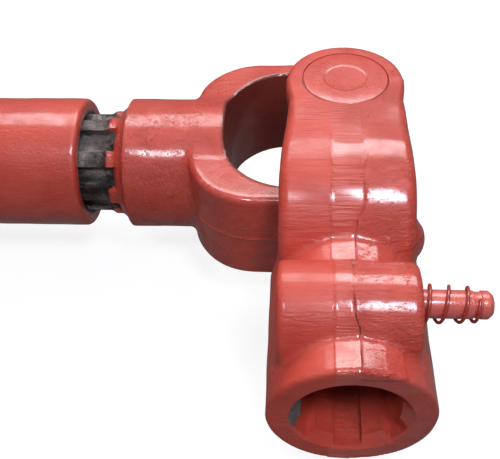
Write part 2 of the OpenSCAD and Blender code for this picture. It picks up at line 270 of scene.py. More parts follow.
def hub_field(x, y, z):
    outer = fork_outside(x, y, z, HUB_TURN_X, HUB_TURN_R, HUB_HALF, 3.4, lean=0.8)
    strip = ground_strip(x, z)
    outer = join(outer, hub_barrel(x, y, z), 1.9)
    ratios = [((u - at) / r) ** 2 for u, at, r in zip((x, y, z), SWELLING_AT, SWELLING_R)]
    outer = join(outer, (np.sqrt(sum(ratios)) - 1) * min(SWELLING_R), 2.0)
    outer = join(outer, pin_boss(x, y, z) - STRIP_RISE_ON_BOSS * strip, 1.4)
    outer = outer - STRIP_RISE * strip * ease(-x, 17, 30) * ease(np.abs(y), 19, 23)
    outer = outer - peened_lip(x, z) * ease(y, 38, 40)
    outer = outer + lumps(x, y, z, 0.22, 5) * ease(-x, 20, 40)
    solid = fork(x, y, z, outer, 1.6, CROTCH)
    solid = np.maximum(solid, -splined_socket(x, y, z))
    hole_r = np.where(z < LOCK_FRONT + 0.2, PIN_LOCK_R, PIN_STEM_R) + PIN_PLAY
    hole = np.maximum(np.hypot(x + PIN_X, y - PIN_Y) - hole_r, PIN_HOLE_BACK - z)
    return np.maximum(solid, -hole)


def inner_yoke(x, y, z, end, rounding, seed):
    """Fork of the two yokes in the middle of the shaft, with the hub up to its end."""
    outer = fork_outside(x, y, z, ARM_TURN_X, ARM_TURN_R, ARM_HALF, 2.4)
    ridge = RIDGE * hill(z, PARTING_Z, 0.6) * ease(np.abs(y), 25.5, 27) * ease(-x, 16, 22)
    barrel = meet(np.hypot(y, z) - BARREL_R, slab(-x, ARM_CROTCH - 6, end), rounding)
    outer = join(outer - ridge, barrel, 2.4)
    return outer + lumps(x, y, z, 0.2, seed) * ease(-x, 20, 40)


def shaft_field(x, y, z):
    radius = np.hypot(y, z)
    outer = inner_yoke(x, y, z, SHOULDER_X + 0.4, 0.8, 11)
    neck_from, neck_to = SHOULDER_X + 0.2, SHOULDER_X + 4.6
    cone = radius - np.interp(-x, [neck_from, neck_to], [BARREL_R - 0.5, SPLINE_MAJOR_R - 0.6])
    cone = np.maximum(cone * 0.65, slab(-x, 70, SHOULDER_X + 6))
    outer = join(outer, cone, 0.6)
    spline = meet(radius - SPLINE_MAJOR_R, slab(-x, 75, SHAFT_END), 0.8)
    outer = join(outer, spline, 4.0)
    # grooves between the teeth, rising out of the shaft on the radius of the cutter
    cutter_r, full_depth = 5.5, SHOULDER_X + 9.0
    run = np.clip(full_depth + x, 0, cutter_r)
    floor = SPLINE_MINOR_R + cutter_r - np.sqrt(cutter_r**2 - run**2)
    groove = meet(floor - radius, -slots(y, z, SPLINE_TOOTH, 8), 0.9)
    groove = np.maximum(groove, x + full_depth - cutter_r)
    outer = np.maximum(outer, -groove)
    return fork(x, y, z, outer, 1.0, ARM_CROTCH)


def sleeve_field(x, y, z):
    radius = np.hypot(y, z)
    outer = inner_yoke(x, y, z, SLEEVE_MOUTH, 1.7, 23)
    grooves = slots(y, z, SPLINE_TOOTH + 2 * SPLINE_PLAY, 8)
    grooves = np.maximum(radius - SPLINE_MAJOR_R - SPLINE_PLAY, grooves)
    bore = np.minimum(radius - SPLINE_MINOR_R - SPLINE_PLAY, grooves)
    bore = np.maximum(bore, SLEEVE_FLOOR + x)
    lead = (radius - SPLINE_MAJOR_R - 1.4 - (x + SLEEVE_MOUTH) * -2.0) * 0.45
    lead = np.maximum(lead, x + SLEEVE_MOUTH - 2.4)
    solid = np.maximum(outer, -np.minimum(bore, lead))
    return fork(x, y, z, solid, 1.0, ARM_CROTCH)


def cross_field(x, y, z):
    solid = meet(np.hypot(y, z) - CENTRE_R, np.abs(x) - CENTRE_HALF, 2.0)
    for u, v in ((y, z), (z, y)):
        root = meet(np.hypot(x, v) - ROOT_R, np.abs(u) - ROOT_END, 1.5)
        solid = join(solid, root, 2.5)
    for u, v in ((y, z), (z, y)):
        trunnion = meet(np.hypot(x, v) - TRUNNION_R, np.abs(u) - TRUNNION_END, 0.9)
        solid = join(solid, trunnion, 0.8)
        solid = np.maximum(solid, 1.6 - np.hypot(x, v))
    return np.maximum(solid, -np.maximum(np.hypot(y, z) - 3.0, -x))


# ---------------------------------------------------------------- dual contouring
def ticks(start, *stretches):
    """Grid lines from start through stretches of (end, step)."""
    found = [np.array([start])]
    for end, step in stretches:
        count = max(1, round(abs(end - start) / step))
        found.append(np.linspace(start, end, count + 1)[1:])
        start = end
    return np.concatenate(found)


def slope(field, p, gap=0.02):
    """Unit normal and distance of the surface at each point."""
    g = np.stack([
        field(*(p + gap * e).T) - field(*(p - gap * e).T) for e in np.eye(3)
    ], axis=1) / (2 * gap)
    length = np.maximum(np.linalg.norm(g, axis=1), 1e-6)
    return g / length[:, None], field(*p.T) / length


def contour(field, axes):
    """Quads on the surface where the field is 0. Each crossed cell has one vertex, placed where
    the surface's tangent planes meet, so that sharp edges stay sharp."""
    grid = field(*np.meshgrid(*axes, indexing="ij", sparse=True))
    inside = grid < 0
    shape = np.array(grid.shape) - 1
    full = np.zeros(shape, int)
    for corner in np.ndindex(2, 2, 2):
        full += inside[tuple(slice(c, c + n) for c, n in zip(corner, shape))]
    active = (full > 0) & (full < 8)
    ids = np.full(shape, -1)
    ids[active] = np.arange(active.sum())
    count = int(active.sum())
    sums = np.zeros((count, 13))
    quads, marks = [], []
    for a in range(3):
        b, c = (a + 1) % 3, (a + 2) % 3
        step = np.eye(3, dtype=int)
        low = inside.take(range(shape[a]), axis=a)
        high = inside.take(range(1, shape[a] + 1), axis=a)
        at = np.argwhere(low != high)
        f0, f1 = grid[tuple(at.T)], grid[tuple((at + step[a]).T)]
        p = np.stack([axes[d][at[:, d]] for d in range(3)], axis=1)
        p[:, a] += (axes[a][at[:, a] + 1] - axes[a][at[:, a]]) * f0 / (f0 - f1)
        n, distance = slope(field, p)
        q = p - n * distance[:, None]
        cells = np.stack([
            ids[tuple((at - i * step[b] - j * step[c]).T)] for i, j in ((1, 1), (0, 1), (0, 0), (1, 0))
        ], axis=1)
        quads.append(np.where((f0 < 0)[:, None], cells, cells[:, ::-1]))
        offset = (n * q).sum(axis=1)
        terms = np.column_stack([
            np.ones(len(p)), q, n[:, :1] * n, n[:, 1] * n[:, 1], n[:, 1] * n[:, 2], n[:, 2] ** 2,
            n * offset[:, None],
        ])
        for k in range(4):
            for i in range(13):
                sums[:, i] += np.bincount(cells[:, k], terms[:, i], count)
    middle = sums[:, 1:4] / sums[:, :1]
    xx, xy, xz, yy, yz, zz = sums[:, 4:10].T
    matrix = np.stack([xx, xy, xz, xy, yy, yz, xz, yz, zz], axis=1).reshape(-1, 3, 3)
    rest = sums[:, 10:13] - np.einsum("nij,nj->ni", matrix, middle)
    matrix = matrix + 0.06 * np.eye(3)
    points = middle + np.linalg.solve(matrix, rest[:, :, None])[:, :, 0]
    cell = np.argwhere(active)
    low = np.stack([axes[d][cell[:, d]] for d in range(3)], axis=1)
    high = np.stack([axes[d][cell[:, d] + 1] for d in range(3)], axis=1)
    return np.clip(points, low, high), np.concatenate(quads)


# ---------------------------------------------------------------- meshes
def mesh_of(name, points, faces, sharp=32):
    mesh = bpy.data.meshes.new(name)
    mesh.from_pydata((np.asarray(points) * MM).tolist(), [], [list(map(int, f)) for f in faces])
    mesh.shade_smooth()
    mesh.set_sharp_from_angle(angle=math.radians(sharp))
    return mesh


def forging(name, field, axes, crotch=ARM_CROTCH, reach=1.6):
    """Mesh of a field, with how deep each point lies in a crease, how far out on an edge, and whether it is
    on the inside of the fork's window; from these the enamel paints shade into creases and the window and
    highlights onto edges."""
    points, faces = contour(field, axes)
    mesh = mesh_of(name, points, faces)
    normal, _ = slope(field, points, 0.4)
    crease = 1 - field(*(points + reach * normal).T) / reach
    edge = 1 + field(*(points - reach * normal).T) / reach
    wall = np.abs(fork_window(points[:, 0], points[:, 1], crotch))
    inner = ease(-wall, -1.4, -0.5) * ease(-points[:, 0], 4, 14)
    for label, value in (("crease", crease), ("edge", edge), ("inner", inner)):
        layer = mesh.attributes.new(label, "FLOAT", "POINT")
        layer.data.foreach_set("value", np.clip(value, 0, 1).astype(np.float32))
    return mesh


def lathe(name, outline, turns=96, sharp=32):
    """Outline of (distance along Y, radius) turned round the Y axis. Radius 0 closes an end."""
    points, rings = [], []
    for y, r in outline:
        size = 1 if r == 0 else turns
        angles = [2 * math.pi * k / turns for k in range(size)]
        rings.append(range(len(points), len(points) + size))
        points += [(r * math.sin(a), y, r * math.cos(a)) for a in angles]
    closed = [] if outline[0][1] == 0 else [rings[0]]
    faces = []
    for near, far in zip(rings, rings[1:] + closed):
        for k in range(turns):
            a, b = near[k % len(near)], near[(k + 1) % len(near)]
            c, d = far[(k + 1) % len(far)], far[k % len(far)]
            face = list(dict.fromkeys((a, b, c, d)))
            if len(face) > 2:
                faces.append(face[::-1])
    return mesh_of(name, points, faces, sharp)


def sweep(name, centres, outs, ups, section, sharp=32):
    """Section of (out, up) pairs carried along centres, with flat ends."""
    n = len(section)
    points = [c + s[0] * o + s[1] * u for c, o, u in zip(centres, outs, ups) for s in section]
    faces = []
    for i in range(len(centres) - 1):
        for k in range(n):
            faces.append((i * n + k, i * n + (k + 1) % n, (i + 1) * n + (k + 1) % n, (i + 1) * n + k))
    last = (len(centres) - 1) * n
    faces += [list(range(n))[::-1], [last + k for k in range(n)]]
    return mesh_of(name, points, faces, sharp)


def ring_section(radius, sides):
    angles = np.linspace(0, 2 * math.pi, sides, endpoint=False)
    return [(radius * math.cos(a), radius * math.sin(a)) for a in angles]


def rounded_corners(outline, r=0.25):
    """The outline with each inner corner cut twice, so that it catches light as a worn edge does."""
    found = [outline[0]]
    for before, at, after in zip(outline, outline[1:], outline[2:]):
        at, before, after = np.array(at), np.array(before), np.array(after)
        ins, outs = before - at, after - at
        a, b = np.linalg.norm(ins), np.linalg.norm(outs)
        cut = min(r, a / 2.5, b / 2.5)
        p, q = at + ins / a * cut, at + outs / b * cut
        middle = (p + q + 2 * at) / 4
        found += [tuple(p), tuple(middle), tuple(q)]
    return found + [outline[-1]]


def cup_mesh():
    face = EAR_REACH
    outline = [
        (face - 0.22, 0), (face - 0.21, 7.1), (face - 0.03, 7.6), (face, 7.9), (face, CUP_R - 0.4),
        (face - 0.35, CUP_R - 0.08), (EAR_INNER, CUP_R - 0.04), (EAR_INNER, CUP_R - 1.0),
        (EAR_INNER - CLIP_THICK - 0.1, CUP_R - 1.0), (EAR_INNER - CLIP_THICK - 0.1, CUP_R - 0.04),
        (CUP_OPEN, CUP_R - 0.3), (CUP_OPEN, CUP_BORE_R), (face - CUP_FLOOR, CUP_BORE_R),
        (face - CUP_FLOOR, 0),
    ]
    return lathe("cup", rounded_corners(outline, 0.3))


def seal_mesh():
    end, start, inner = CUP_OPEN - 0.02, CUP_OPEN - SEAL_LENGTH, TRUNNION_R + 0.06
    outline = [
        (end, inner + 1.2), (end, ROOT_R + 0.7), (end - 1.6, ROOT_R + 0.75), (end - 1.9, ROOT_R - 0.2),
        (start + 0.5, ROOT_R - 0.6), (start + 0.02, ROOT_R - 1.6), (start + 0.02, inner + 0.8),
        (start + 1.0, inner), (end - 0.9, inner),
    ]
    return lathe("seal", outline, 72)


def needles_mesh():
    start, end, r = CUP_OPEN + 0.7, EAR_REACH - CUP_FLOOR - 0.4, NEEDLE_R - 0.01
    pitch = TRUNNION_R + 0.05 + NEEDLE_R
    outline = [(start, 0), (start, r - 0.5), (start + 0.25, r - 0.12), (start + 0.7, r)]
    outline += [(start + end - y, radius) for y, radius in outline[::-1]]
    one = lathe("needle", outline, 14)
    co = np.array([v.co for v in one.vertices]) / MM
    faces = [np.array(p.vertices) for p in one.polygons]
    points, all_faces = [], []
    for k in range(NEEDLE_COUNT):
        a = 2 * math.pi * k / NEEDLE_COUNT
        turned = np.column_stack([
            math.cos(a) * co[:, 0] + math.sin(a) * (co[:, 2] + pitch), co[:, 1],
            math.cos(a) * (co[:, 2] + pitch) - math.sin(a) * co[:, 0],
        ])
        all_faces += [f + k * len(co) for f in faces]
        points.append(turned)
    return mesh_of("needles", np.concatenate(points), all_faces)


def clip_mesh():
    """Open spring ring with flat ends, with the gap towards +X."""
    inner, outer, half = CUP_R - 0.95, CUP_R + 2.1, CLIP_THICK / 2
    middle, width = (inner + outer) / 2, (outer - inner) / 2
    edge = 0.3
    section = [
        (sx * (width - dx), sy * (half - dy))
        for sx, sy, dx, dy in (
            (1, 1, 0, edge), (1, 1, edge, 0), (-1, 1, edge, 0), (-1, 1, 0, edge),
            (-1, -1, 0, edge), (-1, -1, edge, 0), (1, -1, edge, 0), (1, -1, 0, edge),
        )
    ]
    angles = np.radians(np.linspace(26, 334, 90))
    outs = [np.array((math.cos(a), 0, math.sin(a))) for a in angles]
    centres = [middle * o + np.array((0, EAR_INNER - half - 0.01, 0)) for o in outs]
    ups = [np.array((0, 1.0, 0))] * len(outs)
    return sweep("clip", centres, outs, ups, section)


def pin_mesh():
    waist = LOCK_FRONT + PIN_TRAVEL + 1
    outline = [
        (LOCK_BACK, 0), (LOCK_BACK, PIN_LOCK_R - 0.8), (LOCK_BACK + 0.8, PIN_LOCK_R - 0.02),
        (LOCK_FRONT, PIN_LOCK_R - 0.02), (LOCK_FRONT + 0.6, PIN_WAIST_R), (waist, PIN_WAIST_R),
        (waist + 1.4, PIN_STEM_R), (CATCH_AT - 1.4, PIN_STEM_R), (CATCH_AT - 1.2, CATCH_R),
        (CATCH_AT + 0.7, CATCH_R), (CATCH_AT + 0.9, PIN_STEM_R), (PIN_TIP - 1.4, PIN_STEM_R),
        (PIN_TIP - 0.1, PIN_STEM_R - 1.2), (PIN_TIP, PIN_STEM_R - 1.6), (PIN_TIP, 0),
    ]
    return lathe("pin", rounded_corners(outline, 0.3), 64)


def plug_mesh():
    outline = [(0.02, 0), (0.02, PIN_LOCK_R), (2.28, PIN_LOCK_R), (2.28, 0)]
    return lathe("plug", rounded_corners(outline, 0.3), 64)


def nipple_mesh():
    seat = ROOT_R
    outline = [
        (seat - 7, 0), (seat - 7, 2.6), (seat - 6.4, 2.98), (seat, 2.98), (seat + 0.05, 3.9),
        (seat + 0.5, 4.2), (seat + 2.6, 4.2), (seat + 3, 3.8), (seat + 3.05, 2.2), (seat + 5.5, 2.1),
        (seat + 6.6, 2.5), (seat + 7.5, 3.15), (seat + 8.4, 2.9), (seat + 9.4, 1.6),
        (seat + 9.45, 0.7), (seat + 9.2, 0.5), (seat + 9.2, 0),
    ]
    return lathe("nipple", outline, 48, 40)


def spring_mesh():
    """Left-hand coil that tapers to the tip of the pin and closes into its groove."""
    start = BOSS_FRONT + WIRE_R + 0.05
    length, wide, loose, tight, hold = CATCH_AT - start, 5.75, 4.95, 4.5, 0.93
    u = np.linspace(0, 1, int(SPRING_TURNS * 44))
    taper = wide + (loose - wide) * u / hold
    closing = loose + (tight - loose) * (u - hold) / (1 - hold)
    r = np.where(u < hold, taper, closing)
    rise = start + length * (u - 0.36 * np.sin(2 * math.pi * u) / (2 * math.pi))
    a = -2 * math.pi * SPRING_TURNS * u
    outs = np.column_stack([np.cos(a), np.sin(a), 0 * a])
    centres = outs * r[:, None] + np.column_stack([0 * a, 0 * a, rise])
    ups = np.tile((0, 0, 1.0), (len(u), 1))
    return sweep("spring", centres, outs, ups, ring_section(WIRE_R, 12), 50)


# ---------------------------------------------------------------- materials
class Shader:
    """One Principled material and the few kinds of node that it is built from."""

    def __init__(self, name, **settings):
        self.material = bpy.data.materials.new(name)
        self.material.use_nodes = True
        self.tree = self.material.node_tree
        self.surface = self.tree.nodes["Principled BSDF"]
        for key, value in settings.items():
            self.surface.inputs[key.replace("_", " ")].default_value = value
        self.place = self.tree.nodes.new("ShaderNodeTexCoord").outputs["Object"]

    def node(self, kind, inputs, **settings):
        made = self.tree.nodes.new("ShaderNode" + kind)
        for key, value in settings.items():
            setattr(made, key, value)
        for key, value in inputs.items():
            if isinstance(value, bpy.types.NodeSocket):
                self.tree.links.new(value, made.inputs[key])
            else:
                made.inputs[key].default_value = value
        return made

    def stretched(self, scale):
        return self.node("Mapping", {"Vector": self.place, "Scale": scale}).outputs[0]

    def noise(self, size, detail=2.0, rough=0.5, stretch=(1, 1, 1), warp=0.0):
        """Noise whose blots are about size millimetres wide, times stretch on each axis."""
        scale = [1 / (size * MM * s) for s in stretch]
        inputs = {"Vector": self.stretched(scale), "Scale": 1.0, "Detail": detail, "Roughness": rough}
        return self.node("TexNoise", {**inputs, "Distortion": warp}).outputs["Fac"]

    def between(self, value, low, high, start=0.0, end=1.0):
        inputs = {"Value": value, "From Min": low, "From Max": high, "To Min": start, "To Max": end}
        return self.node("MapRange", inputs, interpolation_type="SMOOTHSTEP").outputs["Result"]

    def math(self, kind, a, b=0.0):
        return self.node("Math", {0: a, 1: b}, operation=kind).outputs[0]

    def times(self, product, *others):
        for other in others:
            product = self.math("MULTIPLY", product, other)
        return product

    def outside_of(self, mask):
        return self.math("SUBTRACT", 1.0, mask)

    def axis(self, letter):
        return self.node("SeparateXYZ", {0: self.place}).outputs[letter]

    def radius(self):
        """Distance from the hub axis."""
        flat = self.stretched((0, 1, 1))
        return self.node("VectorMath", {0: flat}, operation="LENGTH").outputs["Value"]

    def layer(self, name):
        return self.node("Attribute", {}, attribute_name=name).outputs["Fac"]

    def mix(self, factor, a, b):
        made = self.node("Mix", {}, data_type="RGBA")
        for index, value in ((0, factor), (6, a), (7, b)):
            if isinstance(value, bpy.types.NodeSocket):
                self.tree.links.new(value, made.inputs[index])
            else:
                made.inputs[index].default_value = value
        return made.outputs[2]

    def bump(self, height, depth, normal=None):
        """depth is the height in millimetres of a step from 0 to 1."""
        inputs = {"Height": height, "Strength": 1.0, "Distance": depth * MM}
        if normal is not None:
            inputs["Normal"] = normal
        return self.node("Bump", inputs).outputs[0]

    def set(self, **sockets):
        for key, value in sockets.items():
            self.tree.links.new(value, self.surface.inputs[key.replace("_", " ")])
        return self.material


RED = (0.59, 0.066, 0.040, 1)
RED_DEEP = (0.51, 0.046, 0.028, 1)
RED_PALE = (0.66, 0.100, 0.070, 1)
PIN_SHEEN_PINK = (0.76, 0.19, 0.16, 1)
RED_SHADE = (0.27, 0.022, 0.014, 1)
RED_WINDOW_SHADE = (0.13, 0.030, 0.022, 1)
CRACK_DARK = (0.14, 0.016, 0.011, 1)
SEAM_SHADE = (0.16, 0.016, 0.011, 1)
STEEL_DARK = (0.055, 0.046, 0.042, 1)
STEEL_LIGHT = (0.26, 0.225, 0.21, 1)
SCALE_DARK = (0.10, 0.112, 0.116, 1)
SCALE_LIGHT = (0.25, 0.27, 0.275, 1)


def brushed(s, where, normal, coat):
    """Scratches and dull spots where the mask is 1, which break its highlights up."""
    scratches = s.noise(1.7, 3, 0.65, (1, 1, 2.5), 1.0)
    normal = s.bump(s.times(scratches, where), 0.55, normal)
    dull = s.between(s.noise(1.1, 3, 0.7, (1, 1, 2), 0.5), 0.50, 0.38, 0.0, 0.9)
    return normal, s.times(coat, s.outside_of(s.times(dull, where)))


def strip_far_edge(s, along):
    """Z of the ground strip's far edge, which steps along the hub as STRIP_PLACES says."""
    far_edge = STRIP_EDGE[0] * MM
    for k in (0, 2, 4):
        places = (-x * MM for x in STRIP_PLACES[k:k + 2])
        step = s.between(along, *places, 0.0, (STRIP_EDGE[k + 1] - STRIP_EDGE[k]) * MM)
        far_edge = s.math("ADD", step, far_edge)
    return far_edge


def flash_strip(s, tone, normal, coat):
    """The hub's ground strip with its fine lines, partly a painted sheen where they are paler, the brushed
    metal and the crack along its far edge, and painted shade in the seam round the cap."""
    along, high = s.axis("X"), s.axis("Y")
    wobble = s.times(s.math("SUBTRACT", s.noise(5, 3), 0.5), 0.0013)
    across = s.math("ADD", s.axis("Z"), wobble)
    past_edge = s.math("SUBTRACT", across, strip_far_edge(s, along))
    off_axis = s.between(s.math("ABSOLUTE", high), 0.0205, 0.0215)
    outside = s.times(off_axis, s.between(along, -0.0155, -0.0168))
    band = s.times(
        s.between(across, (STRIP_FROM - 0.3) * MM, (STRIP_FROM + 0.3) * MM),
        s.between(past_edge, 0.3 * MM, -0.3 * MM),
        outside,
    )
    lines = s.between(s.noise(0.95, 2, 0.5, (1, 1, 24)), 0.42, 0.62)
    on_arm = s.between(along, -0.060, -0.045, 0.4, 1.0)
    normal = s.bump(s.times(lines, band, on_arm), 0.20, normal)
    # paler along the lines: grinding marks, and partly a painted sheen of the strip
    tone = s.mix(s.times(band, s.between(lines, 0, 1, 0.1, 0.75)), tone, RED_PALE)
    # brushed metal on the right of the strip
    right = s.between(past_edge, -0.0002, 0.0008)
    right = s.times(right, s.between(along, -0.038, -0.042), outside)
    normal, coat = brushed(s, right, normal, coat)
    # crack at the far edge, from the arm to just short of the mouth
    length = s.times(
        s.between(along, -0.0560, -0.0600, 0.3, 1.0),
        s.between(along, -0.0220, -0.0245),
        s.between(along, -0.1104, -0.1100),
    )
    crack = s.between(s.math("ABSOLUTE", past_edge), 0.00024, 0.00006)
    crack = s.times(crack, s.times(length, s.between(high, 0.018, 0.0205)))
    crack = s.times(crack, s.between(s.noise(6, 2), 0.40, 0.58, 0.15, 1.0))
    normal = s.bump(crack, -0.3, normal)
    tone = s.mix(s.times(crack, 0.7), tone, CRACK_DARK)
    # painted shade in the seam round the cap, left and right of the strip
    from_cap = s.node("VectorMath", {0: s.stretched((1, 0, 1))}, operation="LENGTH")
    off_rim = s.math("SUBTRACT", from_cap.outputs["Value"], (CUP_R + 0.25) * MM)
    gap = s.times(
        s.between(s.math("ABSOLUTE", off_rim), 0.00035, 0.0001),
        s.between(along, 0.001, -0.004),
        s.between(s.math("ABSOLUTE", s.axis("Z")), 0.0065, 0.009),
    )
    tone = s.mix(s.times(gap, 0.8), tone, SEAM_SHADE)
    return tone, normal, coat


def enamel(name, brush=(1, 1, 1), strip=False, bare=None, rough=1.0, wrinkle=0.34, painted_light_tint=None, worn_from=None):
    """Red enamel over forged steel: tone, brush marks, pits darkened with painted shade, painted shade in
    creases and on the window's inner walls, and painted highlights along edges. bare(shader) gives where the
    steel shows, a (colour, amount) tint lays a painted sheen or painted shade over the tone, strip adds the
    ground flash line, and beyond worn_from along the hub it is brushed."""
    s = Shader(name, Coat_Roughness=0.16, Coat_IOR=1.68)
    tone = s.mix(s.between(s.noise(14, 3), 0.3, 0.7), RED_DEEP, RED)
    tone = s.mix(s.between(s.noise(3.5, 4, 0.6, brush), 0.48, 0.8, 0, 0.5), tone, RED_PALE)
    # painted highlight: paler along edges
    tone = s.mix(s.between(s.layer("edge"), 0.35, 0.95, 0, 0.55), tone, RED_PALE)
    # painted shade: darker in creases
    tone = s.mix(s.between(s.layer("crease"), 0.25, 0.9, 0, 0.6), tone, RED_SHADE)
    # painted shade: darker on the inner walls of the window
    tone = s.mix(s.times(s.layer("inner"), 0.8), tone, RED_WINDOW_SHADE)
    # painted sheen or painted shade over the whole piece, when a tint is given
    if painted_light_tint:
        colour, amount = painted_light_tint
        tone = s.mix(s.between(s.noise(3, 2), 0.2, 0.8, amount * 0.8, amount), tone, colour)
    gloss = s.between(s.noise(6, 4, 0.65), 0.3, 0.7, 0.30 * rough, 0.47 * rough)
    coat = s.between(s.noise(8, 4, 0.65), 0.3, 0.65, 0.30, 0.80)
    patch = s.between(s.noise(15, 2), 0.40, 0.58, 0.25, 1.0)
    if strip:
        smooth = s.between(s.axis("Z"), -0.0055, 0.001)
        patch = s.times(patch, s.math("ADD", s.times(smooth, 0.85), 0.15))
        ground = s.between(s.axis("Z"), (STRIP_FROM - 0.4) * MM, (STRIP_FROM + 0.4) * MM)
        coat = s.times(coat, s.math("ADD", s.times(ground, 0.95), 0.35))
        gloss = s.math("ADD", gloss, s.times(s.outside_of(ground), 0.10))
    grain = s.bump(s.noise(1.1, 3, 0.65), 0.08)
    strokes = s.bump(s.noise(1.4, 3, 0.65, brush, 0.6), 0.26, grain)
    crinkle = s.times(s.noise(1.0, 4, 0.75, (1, 1, 1), 1.0), patch)
    wrinkles = s.bump(crinkle, wrinkle, strokes)
    pits = s.times(s.between(s.noise(1.3, 2, 0.5), 0.33, 0.24), patch)
    normal = s.bump(pits, -0.25, wrinkles)
    # painted shade: darker in the pits
    tone = s.mix(s.times(pits, 0.25), tone, RED_SHADE)
    if strip:
        tone, normal, coat = flash_strip(s, tone, normal, coat)
    if worn_from:
        start = -worn_from * MM
        normal, coat = brushed(s, s.between(s.axis("X"), start, start - 0.005), normal, coat)
    s.set(Roughness=gloss, Normal=normal)
    if bare is None:
        return s.set(Base_Color=tone, Coat_Weight=coat)
    if strip:
        dark, light, metallic = SCALE_DARK, SCALE_LIGHT, 0.35
    else:
        dark, light, metallic = STEEL_DARK, STEEL_LIGHT, 0.85
    shows = bare(s)
    metal = s.mix(s.between(s.noise(5, 4, 0.6, (2, 1, 1)), 0.35, 0.7), dark, light)
    s.set(Coat_Weight=s.times(coat, s.outside_of(shows)), Metallic=s.times(shows, metallic))
    return s.set(Base_Color=s.mix(shows, tone, metal))


def bare_socket(s):
    """Steel shows on one side of the socket's upper half, beyond the reach of the spray."""
    mouth = -HUB_LENGTH * MM
    ragged = s.times(s.noise(7, 3), 0.016)
    depth = s.math("SUBTRACT", s.math("ADD", s.axis("X"), ragged), s.times(s.axis("Z"), 2.0))
    deep = s.between(depth, mouth + 0.020, mouth + 0.028)
    deep = s.times(deep, s.between(s.axis("Y"), -0.009, -0.003))
    inner = s.between(s.radius(), (MOUTH_R - 0.1) * MM, (MOUTH_R - 0.5) * MM)
    return s.times(deep, s.times(inner, s.between(s.axis("X"), -0.047, -0.0475)))


def bare_spline(s):
    """Steel shows on the spline, with spray on its crests by the neck."""
    ragged = s.times(s.math("SUBTRACT", s.noise(3.2, 3, 0.6), 0.5), 0.0028)
    crest = s.between(s.radius(), 0.0174, 0.0187, 0.0, 0.0030)
    start = s.between(s.math("ADD", s.math("ADD", s.axis("X"), ragged), crest), -0.0836, -0.0852)
    dusted = s.between(s.noise(2.6, 3, 0.6, (1.6, 1, 1)), 0.66, 0.76)
    near = s.between(s.axis("X"), -0.0985, -0.090)
    return s.times(start, s.outside_of(s.times(dusted, near)))


def bare_bore(s):
    """Steel shows inside the sleeve."""
    return s.between(s.radius(), (SPLINE_MAJOR_R + 2.2) * MM, (SPLINE_MAJOR_R + 0.8) * MM)


def steel(name, dark, light, size, rough, spray=0.0):
    """Ground or drawn steel, with an optional dusting of red."""
    s = Shader(name, Metallic=1.0)
    tone = s.mix(s.between(s.noise(size, 4, 0.6), 0.3, 0.7), dark, light)
    gloss = s.between(s.noise(size / 2, 3), 0.3, 0.7, rough * 0.8, rough * 1.3)
    s.set(Normal=s.bump(s.noise(0.5, 2, 0.5, (1, 6, 6)), 0.03))
    if spray:
        dust = s.between(s.noise(9, 4, 0.65), 0.62 - spray * 0.2, 0.68 - spray * 0.2)
        tone = s.mix(dust, tone, RED)
        gloss = s.math("MAXIMUM", gloss, s.times(dust, 0.42))
        s.set(Metallic=s.outside_of(dust))
    return s.set(Base_Color=tone, Roughness=gloss)


def rubber():
    s = Shader("seal_rubber")
    tone = s.mix(s.between(s.noise(4, 3), 0.3, 0.7), (0.014, 0.013, 0.013, 1), (0.035, 0.032, 0.031, 1))
    gloss = s.between(s.noise(2, 2), 0.3, 0.7, 0.5, 0.7)
    return s.set(Base_Color=tone, Roughness=gloss, Normal=s.bump(s.noise(0.6, 2), 0.03))


def floor_paper():
    s = Shader("floor_paper", Roughness=0.95, Emission_Color=(1, 1, 1, 1), Emission_Strength=0.84)
    tone = s.mix(s.between(s.noise(60, 2), 0.3, 0.7), (0.24, 0.24, 0.24, 1), (0.26, 0.26, 0.26, 1))
    return s.set(Base_Color=tone)


# ---------------------------------------------------------------- places
def turned(x_to, y_to, z_to, origin):
    """Matrix that carries the yoke frame's axes to these directions at this origin."""
    made = Matrix((x_to, y_to, z_to)).transposed().to_4x4()
    made.translation = origin
    return made


X, Y, Z = Vector((1, 0, 0)), Vector((0, 1, 0)), Vector((0, 0, 1))
JOINT_1 = Vector(JOINT["tractor_hub_swing"]["pos_m"])
JOINT_2 = Vector(JOINT["implement_hub_swing"]["pos_m"])
TRACTOR_HUB = turned(Y, Z, X, JOINT_1)
IMPLEMENT_HUB = turned(X, Z, -Y, JOINT_2)
SHAFT = turned(X, Y, Z, JOINT_1)
SLEEVE = turned(-X, -Y, Z, JOINT_2)
# where a piece on the +Y trunnion goes: up, down, front and back
SIDES = {
    "top": Matrix.Rotation(math.radians(90), 4, "X"),
    "bottom": Matrix.Rotation(math.radians(-90), 4, "X"),
    "front": Matrix.Rotation(math.radians(180), 4, "X"),
    "back": Matrix.Identity(4),
}
CROSSES = {"tractor": SHAFT, "implement": SLEEVE}
HUBS = {"tractor": TRACTOR_HUB, "implement": IMPLEMENT_HUB}


def put(node, mesh, place, material):
    """A finished piece that stands for a CAD node and moves with its body."""
    piece = bpy.data.objects.new(node + "_finished", mesh)
    bpy.context.scene.collection.objects.link(piece)
    if not mesh.materials:
        mesh.materials.append(material)
    piece.matrix_world = place
    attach(piece, BODY_OF[node])
    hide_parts(node)
    return piece


# ---------------------------------------------------------------- pieces
# grid steps that the forgings are contoured on, coarse only along the plain run of a shaft
FINE = 0.78
WIDE = ticks(-43, (43, FINE))
FLAT = ticks(-27, (27, FINE))

